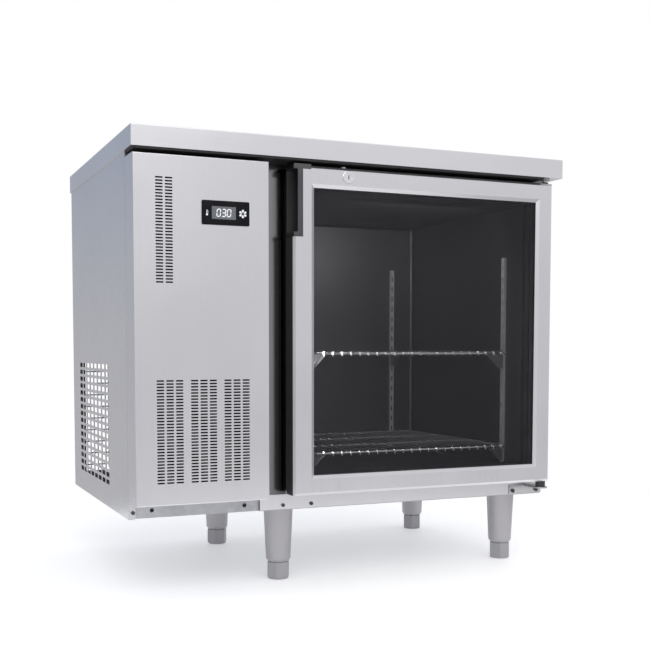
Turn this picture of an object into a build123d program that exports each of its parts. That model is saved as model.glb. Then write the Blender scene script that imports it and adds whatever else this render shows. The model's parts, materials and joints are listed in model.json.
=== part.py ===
from build123d import *
import os

# Under counter fridge: machine compartment on the left, insulated cabinet on the right.
# Millimetres. Origin on the floor under the centre, +X right, +Y back, +Z up.

# Overall
WIDTH = 900.0
DEPTH = 600.0
HEIGHT = 845.0
SHEET = 1.0
BEZEL_PROUD = 2.5
FRONT = -DEPTH / 2 + BEZEL_PROUD
BACK = DEPTH / 2
LEFT = -WIDTH / 2
RIGHT = WIDTH / 2

# Body under the worktop
WORKTOP_LIP = 38.0
SIDE_GAP = 2.5
BODY_TOP = HEIGHT - WORKTOP_LIP
BODY_BOTTOM = 147.0
BODY_LEFT = LEFT + SIDE_GAP
BODY_RIGHT = RIGHT - SIDE_GAP
BODY_FRONT = FRONT + 60.0
BODY_BACK = BACK - 2.0
PARTITION = -194.0
REAR_COVER_BOTTOM = 470.0
FRAME_BOTTOM = 178.0
BREAKER = 4.0

# Cold space inside the liner
LINER = 0.8
ROOM_X = (-114.0, 398.5)
ROOM_Y = (BODY_FRONT + SHEET + BREAKER, 247.5)
ROOM_Z = (200.0, 758.5)
ROOM_CORNER = 8.0

# Service panel, a deep folded pan
PANEL_X = (BODY_LEFT, -196.5)
PANEL_Z = (178.0, 796.0)
PANEL_BACK = BODY_FRONT - 0.5
SLOT_LENGTH = 13.8
SLOT_HEIGHT = 2.8
SLOT_PITCH = 5.5
SLOT_ROWS = 34
SLOT_COLUMN_PITCH = 17.4
UPPER_SLOTS_AT = (-392.75, 664.5)
LOWER_SLOTS_AT = (-321.9, 309.4)
LOWER_GROUP_PITCH = 62.45

# Side panel slots
SIDE_SLOT_AT = (70.5, 308.5)
SIDE_SLOT_PITCH = (38.0, 15.1)
SIDE_SLOT_COUNT = (8, 16)
SIDE_SLOT_SIZE = (29.0, 9.5)

# Controller
CONTROLLER_AT = (-279.7, 698.9)
BEZEL_SIZE = (89.4, 43.1)
LENS_SIZE = (45.4, 23.0)
LENS_AT = (-283.5, 699.0)
CUTOUT_SIZE = (71.6, 29.6)

# Door
DOOR_X = (-146.0, 431.0)
DOOR_Z = (180.3, 796.0)
DOOR_FRONT = FRONT + 5.0
DOOR_BACK = FRONT + 46.0
DOOR_SKIN_BACK = FRONT + 40.0
EDGE_WIDTH = 4.0
EDGE_DEPTH = 5.0
WINDOW_X = (-103.7, 391.7)
WINDOW_Z = (217.3, 756.2)
BEVEL_WIDTH = 6.5
BEVEL_DEPTH = 4.5
GLASS = 4.0
GLASS_GAP = 12.0
GLASS_TUCK = 8.0
GASKET_INSET = 5.0
GASKET_WIDTH = 14.0
GASKET_BACK = FRONT + 59.0

# Finger pull in the door's upper left corner
PULL_Z = (664.5, 798.0)
PULL_DEEP = 24.0
PULL_FACE = 18.6
PULL_MOUTH = 8.4
PULL_TAB = 35.0

# Lock
LOCK_AT = (-34.6, 778.8)
LOCK_TRAVEL = 5.5
LOCK_BORE = 9.0
CYLINDER_RADIUS = 7.0
BOLT_Y = (FRONT + 17.5, FRONT + 20.5)
BOLT_TIP_X = -39.0
BOLT_TIP_Z = 800.4

# Hinges
PIN_AT = (419.0, FRONT + 19.0)
PIN_RADIUS = 4.0
RUNNING = 0.05
BUSH_RADIUS = 6.0
BRACKET = 3.0
LOWER_PLATE_TOP = 168.0
UPPER_PLATE_BOTTOM = BODY_TOP - BRACKET - 0.1

# Legs
LEG_X = (-131.0, 391.0)
LEG_Y = (-171.0, 227.5)
LEG_TOP_RADIUS = 29.4
LEG_LOW_RADIUS = 24.5
LEG_BOTTOM = 35.4
FOOT_TOP = 35.0
FOOT_ACROSS = 40.0
STUD_RADIUS = 8.0

# Shelves
SHELF_X = (-60.0, 387.0)
SHELF_Y = (-200.5, 224.5)
SHELF_Z = {"upper_shelf": 447.4, "lower_shelf": 247.4}
ROD_RADIUS = 3.0
WIRE_RADIUS = 1.6
WIRE_PITCH = 19.8
WIRE_COUNT = 22
PILASTER_WIDTH = 10.0
PILASTER_DEEP = 6.0
PILASTER_Z = (210.0, 653.0)
PILASTER_SIDE_Y = -169.5
PILASTER_BACK_X = (-12.0, 339.0)

# Evaporator on the left wall of the cold space
EVAP_X = (ROOM_X[0], -70.0)
EVAP_Y = (-182.0, 235.0)
EVAP_Z = (250.0, 735.0)
EVAP_FAN_AT = (20.0, 660.0)
EVAP_FAN_RADIUS = 55.0

# Machine compartment
MACHINE_X = (BODY_LEFT + SHEET + 0.2, PARTITION - 0.5)
TRAY = 1.5
TRAY_BOTTOM = BODY_BOTTOM + 0.5
TRAY_FRONT = BODY_FRONT + 5.0
COIL_X = (-430.0, -212.0)
COIL_Y = (TRAY_FRONT + 4.0, TRAY_FRONT + 44.0)
COIL_Z = (200.0, 416.0)
FAN_AT = (-321.0, 308.0)
FAN_RADIUS = 88.0
COMPRESSOR_AT = (-290.0, 90.0)
COMPRESSOR_BASE = 168.0


def write_piece(builder, name):
    """Label a finished piece and write it as a STEP file of its own."""
    builder.part.label = name
    export_step(builder.part, f"parts/{name}.step")


def block(x, y, z, mode=Mode.ADD):
    """A box between low and high limits on each axis."""
    with Locations(((x[0] + x[1]) / 2, (y[0] + y[1]) / 2, (z[0] + z[1]) / 2)):
        Box(x[1] - x[0], y[1] - y[0], z[1] - z[0], mode=mode)


def middle(limits):
    return (limits[0] + limits[1]) / 2


def span(limits):
    return limits[1] - limits[0]


def grown(limits, by):
    return (limits[0] - by, limits[1] + by)


def facing_front(y):
    """A sketch plane at depth y, seen from the front: local x is X and local y is Z."""
    return Plane.XZ.offset(-y)


def frame_ring(outer_x, outer_z, inner_x, inner_z, y):
    """A flat rectangular ring between two depths."""
    block(outer_x, y, outer_z)
    block(inner_x, y, inner_z, mode=Mode.SUBTRACT)


# ---------------------------------------------------------------- worktop


def make_worktop():
    inner_x = (LEFT + SHEET, RIGHT - SHEET)
    inner_y = (FRONT + SHEET, BACK - SHEET)
    inner_z = (BODY_TOP + SHEET, HEIGHT - SHEET)
    side_return = 40.0
    rear_return = 20.0
    opening_x = (LEFT + side_return, RIGHT - side_return)
    opening_y = (FRONT + SHEET, BACK - rear_return)
    bend = 2.4
    with BuildPart() as worktop_skin:
        block((LEFT, RIGHT), (FRONT, BACK), (BODY_TOP, HEIGHT))
        fillet(worktop_skin.faces().sort_by(Axis.Z)[-1].edges(), bend)
        block(inner_x, inner_y, inner_z, mode=Mode.SUBTRACT)
        block(opening_x, opening_y, (BODY_TOP, BODY_TOP + SHEET), mode=Mode.SUBTRACT)
    write_piece(worktop_skin, "worktop_skin")

    with BuildPart() as worktop_core:
        block(inner_x, inner_y, inner_z)
        block(opening_x, opening_y, (BODY_TOP, BODY_TOP + SHEET))
    write_piece(worktop_core, "worktop_core")

    strip_x = (LEFT + 4.0, PIN_AT[0] - 13.0)
    strip_y = (FRONT + 1.5, BODY_FRONT - 0.5)
    strip_z = (BODY_TOP - 4.0, BODY_TOP)
    strike_slot = (14.0, 7.0)
    with BuildPart() as worktop_seal_strip:
        block(strip_x, strip_y, strip_z)
        with Locations((BOLT_TIP_X, middle(BOLT_Y), middle(strip_z))):
            Box(*strike_slot, 2 * span(strip_z), mode=Mode.SUBTRACT)
    write_piece(worktop_seal_strip, "worktop_seal_strip")


# ---------------------------------------------------------------- outer panels


def make_side_panels():
    front_return = 13.0
    rear_return = 26.0
    slot_corner = 3.0
    wall = (BODY_LEFT, BODY_LEFT + SHEET)
    height = (BODY_BOTTOM, BODY_TOP)
    with BuildPart() as side_panel_left:
        block(wall, (BODY_FRONT, BODY_BACK), height)
        block((BODY_LEFT, BODY_LEFT + front_return), (BODY_FRONT, BODY_FRONT + SHEET), height)
        block((BODY_LEFT, BODY_LEFT + rear_return), (BODY_BACK - SHEET, BODY_BACK), height)
        with BuildSketch(Plane.YZ.offset(BODY_LEFT)):
            with Locations(SIDE_SLOT_AT):
                with GridLocations(*SIDE_SLOT_PITCH, *SIDE_SLOT_COUNT):
                    RectangleRounded(*SIDE_SLOT_SIZE, slot_corner)
        extrude(amount=SHEET, mode=Mode.SUBTRACT)
    write_piece(side_panel_left, "side_panel_left")

    with BuildPart() as side_panel_right:
        block((BODY_RIGHT - SHEET, BODY_RIGHT), (BODY_FRONT, BODY_BACK), height)
        fillet(side_panel_right.edges().filter_by(Axis.Z).group_by(Axis.Y)[0].sort_by(Axis.X)[-1], 0.8)
    write_piece(side_panel_right, "side_panel_right")

    # One sheet wraps the cabinet's top, back and bottom, and its wall to the machine compartment.
    # Its rear cover closes the upper part of that compartment's back.
    wrap_x = (PARTITION + SHEET, BODY_RIGHT - SHEET)
    wrap_y = (BODY_FRONT + SHEET, BODY_BACK)
    cover_x = (BODY_LEFT + SHEET, PARTITION + SHEET)
    cover_y = (BODY_BACK - 2 * SHEET, BODY_BACK - SHEET)
    with BuildPart() as outer_wrap:
        block(wrap_x, wrap_y, (BODY_BOTTOM, BODY_BOTTOM + SHEET))
        block(wrap_x, wrap_y, (BODY_TOP - SHEET, BODY_TOP))
        block(wrap_x, (BODY_BACK - SHEET, BODY_BACK), (BODY_BOTTOM, BODY_TOP))
        block((PARTITION, PARTITION + SHEET), wrap_y, height)
        block(cover_x, cover_y, (REAR_COVER_BOTTOM, BODY_TOP))
    write_piece(outer_wrap, "outer_wrap")


def make_face_frame():
    outer_x = (PARTITION, BODY_RIGHT - SHEET)
    outer_z = (BODY_BOTTOM + SHEET, BODY_TOP - SHEET)
    with BuildPart() as front_frame:
        frame_ring(outer_x, outer_z, ROOM_X, ROOM_Z, (BODY_FRONT, BODY_FRONT + SHEET))
    write_piece(front_frame, "front_frame")

    breaker_x = (PARTITION + SHEET, outer_x[1])
    breaker_y = (BODY_FRONT + SHEET, BODY_FRONT + SHEET + BREAKER)
    with BuildPart() as thermal_breaker:
        frame_ring(breaker_x, outer_z, ROOM_X, ROOM_Z, breaker_y)
    write_piece(thermal_breaker, "thermal_breaker")

    rail_z = (BODY_BOTTOM + 1.5, FRAME_BOTTOM - 0.5)
    hem = 2.0
    with BuildPart() as base_front_rail:
        block((PARTITION, BODY_RIGHT - 0.5), (BODY_FRONT - SHEET, BODY_FRONT), rail_z)
        block(
            (PARTITION, BODY_RIGHT - 0.5),
            (BODY_FRONT - hem, BODY_FRONT),
            (rail_z[1] - SHEET, rail_z[1]),
        )
    write_piece(base_front_rail, "base_front_rail")


def make_liner_and_foam():
    with BuildPart() as inner_liner:
        block(
            grown(ROOM_X, LINER),
            (ROOM_Y[0], ROOM_Y[1] + LINER),
            grown(ROOM_Z, LINER),
        )
        fillet(inner_liner.edges().filter_by(Axis.Y), ROOM_CORNER)
        fillet(inner_liner.faces().sort_by(Axis.Y)[-1].edges(), ROOM_CORNER)
        offset(amount=-LINER, openings=inner_liner.faces().sort_by(Axis.Y)[0])
    write_piece(inner_liner, "inner_liner")

    wall_x = (PARTITION + SHEET, BODY_RIGHT - SHEET)
    wall_y = (ROOM_Y[0], BODY_BACK - SHEET)
    wall_z = (BODY_BOTTOM + SHEET, BODY_TOP - SHEET)
    room_x = grown(ROOM_X, LINER)
    room_z = grown(ROOM_Z, LINER)
    slabs = {
        "insulation_bottom": (wall_x, wall_y, (wall_z[0], room_z[0])),
        "insulation_top": (wall_x, wall_y, (room_z[1], wall_z[1])),
        "insulation_left": ((wall_x[0], room_x[0]), wall_y, room_z),
        "insulation_right": ((room_x[1], wall_x[1]), wall_y, room_z),
        "insulation_back": (room_x, (ROOM_Y[1] + LINER, wall_y[1]), room_z),
    }
    for name, (x, y, z) in slabs.items():
        with BuildPart() as slab:
            block(x, y, z)
        write_piece(slab, name)


# ---------------------------------------------------------------- service panel and controller


def make_service_panel():
    bend = 2.0
    inside_x = (PANEL_X[0] + SHEET, PANEL_X[1] - SHEET)
    inside_z = (PANEL_Z[0] + SHEET, PANEL_Z[1] - SHEET)
    with BuildPart() as service_panel:
        block(PANEL_X, (FRONT, PANEL_BACK), PANEL_Z)
        fillet(service_panel.faces().sort_by(Axis.Y)[0].edges(), bend)
        block(inside_x, (FRONT + SHEET, PANEL_BACK), inside_z, mode=Mode.SUBTRACT)
        with BuildSketch(facing_front(FRONT)):
            with Locations(UPPER_SLOTS_AT):
                with GridLocations(SLOT_COLUMN_PITCH, SLOT_PITCH, 2, SLOT_ROWS):
                    SlotOverall(SLOT_LENGTH, SLOT_HEIGHT)
            for group in (-1, 0, 1):
                centre_x = LOWER_SLOTS_AT[0] + group * LOWER_GROUP_PITCH
                with Locations((centre_x, LOWER_SLOTS_AT[1])):
                    with GridLocations(SLOT_COLUMN_PITCH, SLOT_PITCH, 3, SLOT_ROWS):
                        SlotOverall(SLOT_LENGTH, SLOT_HEIGHT)
            with Locations(CONTROLLER_AT):
                Rectangle(*CUTOUT_SIZE)
        extrude(amount=-SHEET, mode=Mode.SUBTRACT)
    write_piece(service_panel, "service_panel")


def make_controller():
    bezel_corner = 2.5
    rim = 0.9
    with BuildPart() as controller_bezel:
        with BuildSketch(facing_front(FRONT)):
            with Locations(CONTROLLER_AT):
                RectangleRounded(*BEZEL_SIZE, bezel_corner)
        extrude(amount=BEZEL_PROUD)
        chamfer(controller_bezel.faces().sort_by(Axis.Y)[0].edges(), rim)
        with BuildSketch(facing_front(FRONT)):
            with Locations(LENS_AT):
                Rectangle(*LENS_SIZE)
        extrude(amount=BEZEL_PROUD, mode=Mode.SUBTRACT)
    write_piece(controller_bezel, "controller_bezel")

    lens_proud = 2.0
    with BuildPart() as display_lens:
        with BuildSketch(facing_front(FRONT)):
            with Locations(LENS_AT):
                Rectangle(LENS_SIZE[0] - 0.2, LENS_SIZE[1] - 0.2)
        extrude(amount=lens_proud)
    write_piece(display_lens, "display_lens")

    body_deep = 50.0
    terminal = (60.0, 6.0, 10.0)
    with BuildPart() as controller_body:
        with BuildSketch(facing_front(FRONT)):
            with Locations(CONTROLLER_AT):
                Rectangle(CUTOUT_SIZE[0] - 0.6, CUTOUT_SIZE[1] - 0.6)
        extrude(amount=-body_deep)
        terminal_y = FRONT + body_deep + terminal[1] / 2
        with Locations((CONTROLLER_AT[0], terminal_y, CONTROLLER_AT[1])):
            Box(*terminal)
    write_piece(controller_body, "controller_body")


# ---------------------------------------------------------------- machine compartment


def make_machine_base():
    flange_z = (TRAY_BOTTOM, FRAME_BOTTOM - 0.5)
    tray_y = (TRAY_FRONT, BODY_BACK - SHEET - 0.2)
    hole_radius = 4.0
    holes = [(-403.0, 161.5), (-223.5, 160.0)]
    vents = (34.0, 150.0)
    with BuildPart() as machine_base:
        block(MACHINE_X, tray_y, (TRAY_BOTTOM, TRAY_BOTTOM + TRAY))
        block(MACHINE_X, (TRAY_FRONT, TRAY_FRONT + TRAY), flange_z)
        block(MACHINE_X, (tray_y[1] - TRAY, tray_y[1]), flange_z)
        with BuildSketch(facing_front(TRAY_FRONT)):
            with Locations(*holes):
                Circle(hole_radius)
        extrude(amount=-TRAY, mode=Mode.SUBTRACT)
        with BuildSketch(Plane.XY.offset(TRAY_BOTTOM)):
            with Locations((middle(MACHINE_X), -110.0)):
                with GridLocations(vents[0], 1.0, 4, 1):
                    SlotOverall(vents[1] / 2, 8.0, rotation=90)
        extrude(amount=TRAY, mode=Mode.SUBTRACT)
    write_piece(machine_base, "machine_base")

    leaf = 22.0
    top = BODY_TOP - 0.5
    front_y = BODY_FRONT + SHEET + 0.5
    rear_y = BODY_BACK - 2 * SHEET - 0.5
    with BuildPart() as compartment_rails:
        block(MACHINE_X, (front_y, front_y + TRAY), (top - leaf, top))
        block(MACHINE_X, (front_y, front_y + leaf), (top - TRAY, top))
        block(MACHINE_X, (rear_y - TRAY, rear_y), (top - leaf, top))
        block(MACHINE_X, (rear_y - leaf, rear_y), (top - TRAY, top))
    write_piece(compartment_rails, "compartment_rails")


def make_rear_guard():
    post = (8.0, 5.0)
    wire = 1.5
    wire_step = 2.4
    guard_x = (MACHINE_X[0] + 6.0, MACHINE_X[1] - 6.0)
    guard_z = (FRAME_BOTTOM + 6.0, REAR_COVER_BOTTOM - 4.0)
    y = BODY_BACK - SHEET - 8.0
    rows = 11
    margin = 8.0
    with BuildPart() as rear_wire_guard:
        for row in range(rows):
            z = guard_z[0] + margin + row * (span(guard_z) - 2 * margin) / (rows - 1)
            with Locations((middle(guard_x), y, z)):
                Cylinder(wire, span(guard_x), rotation=(0, 90, 0))
        for x in guard_x:
            with Locations((x, y, middle(guard_z))):
                Box(*post, span(guard_z))
        for x in (middle(guard_x) - 50.0, middle(guard_x) + 50.0):
            with Locations((x, y + wire_step, middle(guard_z))):
                Cylinder(wire, span(guard_z))
    write_piece(rear_wire_guard, "rear_wire_guard")


def make_compressor():
    pot = (64.0, 78.0)
    pot_height = 162.0
    seam = 3.0
    plate = (150.0, 190.0, 4.0)
    grommet = (11.0, 9.0)
    foot_pitch = (122.0, 164.0)
    with BuildPart() as pot_shell:
        with BuildSketch(Plane((*COMPRESSOR_AT, COMPRESSOR_BASE + plate[2]))):
            Ellipse(*pot)
        extrude(amount=pot_height)
        fillet(pot_shell.faces().sort_by(Axis.Z)[-1].edges(), 32.0)
    with BuildPart(Plane((*COMPRESSOR_AT, COMPRESSOR_BASE))) as compressor:
        with Locations((0, 0, plate[2] / 2)):
            Box(*plate)
        fillet(compressor.edges().filter_by(Axis.Z), 12.0)
        with Locations((0, 0, plate[2] / 2)):
            with GridLocations(*foot_pitch, 2, 2):
                Cylinder(6.5, plate[2], mode=Mode.SUBTRACT)
        with BuildSketch(Plane((*COMPRESSOR_AT, COMPRESSOR_BASE + 76.0))):
            Ellipse(pot[0] + seam, pot[1] + seam)
        extrude(amount=2 * seam)
        with Locations((pot[0] - 4.0, 0, 70.0)):
            Box(30.0, 52.0, 62.0)
        with Locations((0, pot[1] - 6.0, 120.0)):
            Cylinder(4.5, 44.0, rotation=(90, 0, 0))
    with BuildPart() as whole_compressor:
        add(compressor.part)
        add(pot_shell.part)
    write_piece(whole_compressor, "compressor")

    with BuildPart(Plane((*COMPRESSOR_AT, TRAY_BOTTOM + TRAY))) as compressor_feet:
        with GridLocations(*foot_pitch, 2, 2):
            height = COMPRESSOR_BASE - TRAY_BOTTOM - TRAY
            with Locations((0, 0, height / 2)):
                Cylinder(grommet[0], height)
            with Locations((0, 0, height + plate[2] / 2)):
                Cylinder(6.4, plate[2])
            with Locations((0, 0, height + plate[2] + 2.0)):
                Cylinder(grommet[1], 4.0)
    write_piece(compressor_feet, "compressor_feet")


def finned_coil(x, y, z, along, fin, pitch, tube, rows):
    """Fins stacked along one axis on rows of tubes, with end plates a little thicker."""
    limits = {"x": x, "y": y, "z": z}
    stack = limits[along]
    count = int(span(stack) // pitch)
    for index in range(count + 1):
        edge = index in (0, count)
        thick = 2 * fin if edge else fin
        low = stack[0] + index * (span(stack) - 2 * fin) / count
        fin_limits = dict(limits)
        fin_limits[along] = (low, low + thick)
        block(fin_limits["x"], fin_limits["y"], fin_limits["z"])
    turn = (0, 90, 0) if along == "x" else (90, 0, 0)
    for row in range(rows):
        height = z[0] + (row + 0.5) * span(z) / rows
        centre = (middle(x), middle(y), height)
        with Locations(centre):
            Cylinder(tube, span(stack), rotation=turn)


def make_condenser():
    with BuildPart() as condenser_coil:
        finned_coil(COIL_X, COIL_Y, COIL_Z, "x", 0.8, 7.0, 5.0, 6)
    write_piece(condenser_coil, "condenser_coil")

    shroud_y = (COIL_Y[1] + 1.0, COIL_Y[1] + 2.5)
    ring_deep = 24.0
    ring = FAN_RADIUS + 7.0
    strut = (10.0, 3.0)
    motor_radius = 34.0
    motor_y = (shroud_y[0] + 36.0, shroud_y[0] + 82.0)
    with BuildPart() as fan_shroud:
        block(COIL_X, shroud_y, COIL_Z)
        with BuildSketch(facing_front(shroud_y[0])):
            with Locations(FAN_AT):
                Circle(ring + 1.5)
        extrude(amount=-ring_deep)
        with BuildSketch(facing_front(shroud_y[0])):
            with Locations(FAN_AT):
                Circle(ring)
        extrude(amount=-ring_deep, mode=Mode.SUBTRACT)
        with BuildSketch(facing_front(shroud_y[0] + ring_deep - strut[1])):
            with Locations(FAN_AT):
                with PolarLocations((ring + motor_radius) / 2, 3, start_angle=90):
                    Rectangle(ring - motor_radius + 4.0, strut[0])
                Circle(motor_radius)
                Circle(7.0, mode=Mode.SUBTRACT)
        extrude(amount=-strut[1])
    write_piece(fan_shroud, "fan_shroud")

    hub_y = (shroud_y[0] + 4.0, shroud_y[0] + 18.0)
    plate_y = shroud_y[0] + ring_deep
    with BuildPart() as condenser_fan_motor:
        with BuildSketch(facing_front(plate_y)):
            with Locations(FAN_AT):
                Circle(motor_radius)
        extrude(amount=-(motor_y[1] - plate_y))
        fillet(condenser_fan_motor.faces().sort_by(Axis.Y)[-1].edges(), 8.0)
        with BuildSketch(facing_front(plate_y)):
            with Locations(FAN_AT):
                Circle(3.0)
        extrude(amount=plate_y - hub_y[0] - 2.0)
    write_piece(condenser_fan_motor, "condenser_fan_motor")

    fan_plane = Plane((FAN_AT[0], middle(hub_y), FAN_AT[1]), x_dir=(1, 0, 0), z_dir=(0, -1, 0))
    make_fan("condenser_fan", fan_plane, 22.0, span(hub_y), FAN_RADIUS, 30.0)


def make_fan(name, plane, hub_radius, hub_height, radius, chord):
    """Five pitched blades on a bored hub, turning about the plane's normal."""
    blade_length = radius - hub_radius + 2.0
    blade_pitch = 22.0
    with BuildPart(plane) as fan:
        Cylinder(hub_radius, hub_height)
        with PolarLocations(hub_radius + blade_length / 2 - 2.0, 5):
            Box(blade_length, chord, 1.6, rotation=(blade_pitch, 0, 0))
        Cylinder(3.0 + RUNNING, 2 * hub_height, mode=Mode.SUBTRACT)
    write_piece(fan, name)


def make_refrigeration():
    pipe = 4.0
    drier_at = (-245.0, -60.0)
    drier_z = (215.0, 325.0)
    drier_radius = 12.0
    with BuildPart(Plane((*drier_at, 0))) as filter_drier:
        with BuildSketch(Plane.XZ.offset(-drier_at[1])):
            with BuildLine():
                Polyline(
                    (drier_at[0], drier_z[0]),
                    (drier_at[0] + pipe + 1.0, drier_z[0]),
                    (drier_at[0] + drier_radius, drier_z[0] + 16.0),
                    (drier_at[0] + drier_radius, drier_z[1] - 16.0),
                    (drier_at[0] + pipe + 1.0, drier_z[1]),
                    (drier_at[0], drier_z[1]),
                    close=True,
                )
            make_face()
        axis = Axis((*drier_at, 0), (0, 0, 1))
        revolve(axis=axis)
    write_piece(filter_drier, "filter_drier")

    # The discharge line goes up and over the compartment, the outlet line goes through the
    # partition to the evaporator, and the liquid line runs from the condenser to the drier.
    stub_y = COMPRESSOR_AT[1] + 72.0 + 22.0 + 2.0
    stub_z = COMPRESSOR_BASE + 120.0
    discharge = [
        (COMPRESSOR_AT[0], stub_y, stub_z),
        (COMPRESSOR_AT[0], stub_y + 40.0, stub_z),
        (-214.0, stub_y + 40.0, stub_z),
        (-214.0, stub_y + 40.0, 440.0),
        (-214.0, COIL_Y[1] + 60.0, 440.0),
        (-214.0, COIL_Y[1] + 60.0, 500.0),
    ]
    outlet = [
        (drier_at[0], drier_at[1], drier_z[1]),
        (drier_at[0], drier_at[1], 470.0),
        (drier_at[0], 40.0, 470.0),
        (drier_at[0], 40.0, 560.0),
        (PARTITION - 1.0, 40.0, 560.0),
    ]
    liquid = [
        (COIL_X[1] + 1.0, middle(COIL_Y), COIL_Z[0] + 18.0),
        (COIL_X[1] + 9.0, middle(COIL_Y), COIL_Z[0] + 18.0),
        (COIL_X[1] + 9.0, drier_at[1], COIL_Z[0] + 18.0),
        (COIL_X[1] + 9.0, drier_at[1], 192.0),
        (drier_at[0], drier_at[1], 192.0),
        (drier_at[0], drier_at[1], drier_z[0]),
    ]
    tubes = [(discharge, pipe, 14.0), (outlet, pipe, 14.0), (liquid, 3.0, 3.5)]
    with BuildPart() as refrigerant_tubes:
        for route, tube_radius, bend_radius in tubes:
            with BuildLine() as path:
                FilletPolyline(*route, radius=bend_radius)
            start = Plane(origin=path.line @ 0, z_dir=path.line % 0)
            with BuildSketch(start):
                Circle(tube_radius)
            sweep(path=path.line)
    write_piece(refrigerant_tubes, "refrigerant_tubes")

    box_x = (-330.0, PARTITION - 1.0)
    box_y = (90.0, 200.0)
    box_z = (590.0, 700.0)
    with BuildPart() as electrical_box:
        block(box_x, box_y, box_z)
        fillet(electrical_box.edges().filter_by(Axis.X), 4.0)
        block((box_x[0] - 3.0, box_x[0]), grown(box_y, 2.0), grown(box_z, 2.0))
    write_piece(electrical_box, "electrical_box")

    gland_at = (-262.0, 625.0)
    with BuildPart() as cable_gland:
        with BuildSketch(facing_front(box_y[1])):
            with Locations(gland_at):
                RegularPolygon(13.0, 6)
        extrude(amount=-7.0)
        with BuildSketch(facing_front(box_y[1] + 7.0)):
            with Locations(gland_at):
                Circle(10.0)
        extrude(amount=-16.0)
        with BuildSketch(facing_front(box_y[1])):
            with Locations(gland_at):
                Circle(4.5)
        extrude(amount=-23.0, mode=Mode.SUBTRACT)
    write_piece(cable_gland, "cable_gland")


# ---------------------------------------------------------------- inside the cold space


def make_evaporator():
    wall = 1.0
    fan_y, fan_z = EVAP_FAN_AT
    outlet = (90.0, 12.0)
    with BuildPart() as evaporator_housing:
        block(EVAP_X, EVAP_Y, EVAP_Z)
        block(
            (EVAP_X[0], EVAP_X[1] - wall),
            (EVAP_Y[0] + wall, EVAP_Y[1] - wall),
            (EVAP_Z[0] + wall, EVAP_Z[1] - wall),
            mode=Mode.SUBTRACT,
        )
        with BuildSketch(Plane.YZ.offset(EVAP_X[1] - wall)):
            with Locations((fan_y, fan_z)):
                for radius in (14.0, 24.0, 34.0, 44.0, 54.0):
                    Circle(radius + 3.0)
                    Circle(radius - 3.0, mode=Mode.SUBTRACT)
                Rectangle(120.0, 3.5, mode=Mode.SUBTRACT)
                Rectangle(3.5, 120.0, mode=Mode.SUBTRACT)
            with Locations((middle(EVAP_Y), EVAP_Z[0] + 70.0)):
                with GridLocations(outlet[0] + 14.0, 22.0, 3, 4):
                    SlotOverall(*outlet)
        extrude(amount=wall, mode=Mode.SUBTRACT)
    write_piece(evaporator_housing, "evaporator_housing")

    coil_x = (EVAP_X[0] + 2.0, EVAP_X[1] - 5.0)
    with BuildPart() as evaporator_coil:
        finned_coil(coil_x, (-150.0, 190.0), (390.0, 560.0), "y", 1.0, 8.5, 5.0, 5)
    write_piece(evaporator_coil, "evaporator_coil")

    motor_plane = Plane((EVAP_X[0] + 1.0, fan_y, fan_z), x_dir=(0, 1, 0), z_dir=(1, 0, 0))
    with BuildPart(motor_plane) as evaporator_fan_motor:
        Cylinder(24.0, 16.0, align=(Align.CENTER, Align.CENTER, Align.MIN))
        Cylinder(3.0, 28.0, align=(Align.CENTER, Align.CENTER, Align.MIN))
        Box(60.0, 12.0, 3.0, align=(Align.CENTER, Align.CENTER, Align.MIN))
    write_piece(evaporator_fan_motor, "evaporator_fan_motor")

    fan_plane = Plane((EVAP_X[0] + 28.0, fan_y, fan_z), x_dir=(0, 1, 0), z_dir=(1, 0, 0))
    make_fan("evaporator_fan", fan_plane, 15.0, 12.0, EVAP_FAN_RADIUS, 20.0)


def pilaster_places():
    """Where each pilaster stands on its wall, and the direction it faces."""
    return [
        ((EVAP_X[1], PILASTER_SIDE_Y), (1, 0)),
        ((PILASTER_BACK_X[0], ROOM_Y[1]), (0, -1)),
        ((ROOM_X[1], PILASTER_SIDE_Y), (-1, 0)),
        ((PILASTER_BACK_X[1], ROOM_Y[1]), (0, -1)),
    ]


def wall_plane(place, outward, z):
    """Local x runs away from the wall, local y along it and local z up."""
    return Plane((*place, z), x_dir=(*outward, 0), z_dir=(0, 0, 1))


def make_pilasters():
    wall = 1.2
    slot = (12.0, 4.0)
    slot_pitch = 25.0
    slots = 17
    length = span(PILASTER_Z)
    with BuildPart() as shelf_pilasters:
        for place, outward in pilaster_places():
            plane = wall_plane(place, outward, PILASTER_Z[0])
            with Locations(plane):
                with Locations((PILASTER_DEEP / 2, 0, length / 2)):
                    Box(PILASTER_DEEP, PILASTER_WIDTH, length)
                with Locations((PILASTER_DEEP / 2 - wall, 0, length / 2)):
                    Box(PILASTER_DEEP, PILASTER_WIDTH - 2 * wall, length, mode=Mode.SUBTRACT)
                for index in range(slots):
                    rise = length / 2 + (index - (slots - 1) / 2) * slot_pitch
                    with Locations((PILASTER_DEEP, 0, rise)):
                        Box(4 * wall, slot[1], slot[0], mode=Mode.SUBTRACT)
    write_piece(shelf_pilasters, "shelf_pilasters")


def make_shelf_clips():
    reach = 32.0
    drop = 30.0
    clip_width = PILASTER_WIDTH
    web = 2.0
    with BuildPart() as shelf_clips:
        for place, outward in pilaster_places():
            for shelf_z in SHELF_Z.values():
                top = shelf_z - ROD_RADIUS - 0.1
                plane = wall_plane(place, outward, top)
                profile_plane = Plane(plane.origin, x_dir=plane.x_dir, z_dir=-plane.y_dir)
                with BuildSketch(profile_plane.offset(-clip_width / 2)):
                    clip_profile(reach, drop, 0.0)
                extrude(amount=clip_width)
                with BuildSketch(profile_plane.offset(-clip_width / 2 + web)):
                    clip_profile(reach, drop, web)
                extrude(amount=clip_width, mode=Mode.SUBTRACT)
    write_piece(shelf_clips, "shelf_clips")


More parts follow.
